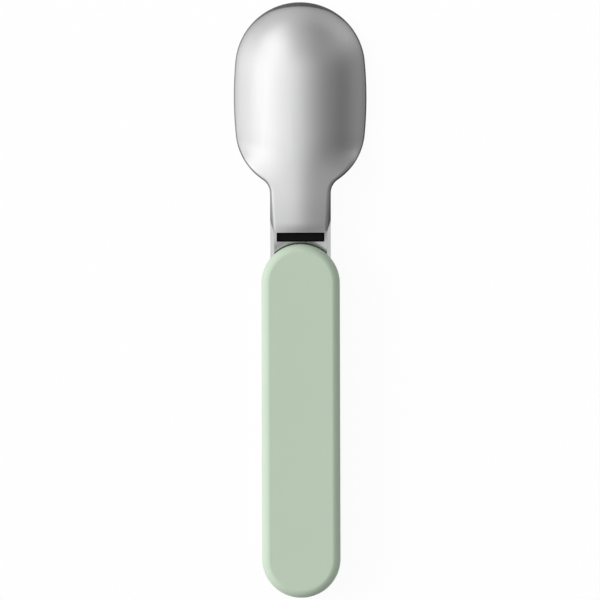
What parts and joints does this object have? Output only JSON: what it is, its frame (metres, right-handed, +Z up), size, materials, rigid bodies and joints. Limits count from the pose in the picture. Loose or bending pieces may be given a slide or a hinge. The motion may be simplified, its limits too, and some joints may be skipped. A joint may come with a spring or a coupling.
{
  "type": "folding spoon",
  "caption": "Folding lunch spoon: pressed steel bowl and neck that hinge on a cross pin in a slim plastic handle and click open or shut.",
  "frame": {"origin": "centre of the open spoon's plan, on the surface that it lies on", "axes": "+Y along the spoon towards the bowl's tip, +Z up out of the bowl's convex side, +X to the right of someone looking along +Y"},
  "size_m": [0.0384, 0.172, 0.009],
  "materials": {
    "polished_steel": "polished stainless sheet steel",
    "plain_steel": "plain stainless steel of pin, leaf spring and screws",
    "green_plastic": "satin moulded plastic, sage green",
    "black_nylon": "moulded black nylon"
  },
  "bodies": {
    "handle": {"handle_cover": "green_plastic", "handle_base": "green_plastic", "pivot_pin": "plain_steel", "detent_spring": "plain_steel", "spring_screw": "plain_steel", "cover_screw_front": "plain_steel", "cover_screw_rear": "plain_steel"},
    "head": {"spoon_head": "polished_steel", "hinge_insert": "black_nylon"}
  },
  "joints": [
    {"name": "head_fold", "type": "hinge", "parent": "handle", "child": "head", "pos_m": [0, 0.008, 0.0026], "axis": [-1, 0, 0], "range_deg": [0, 175]}
  ]
}
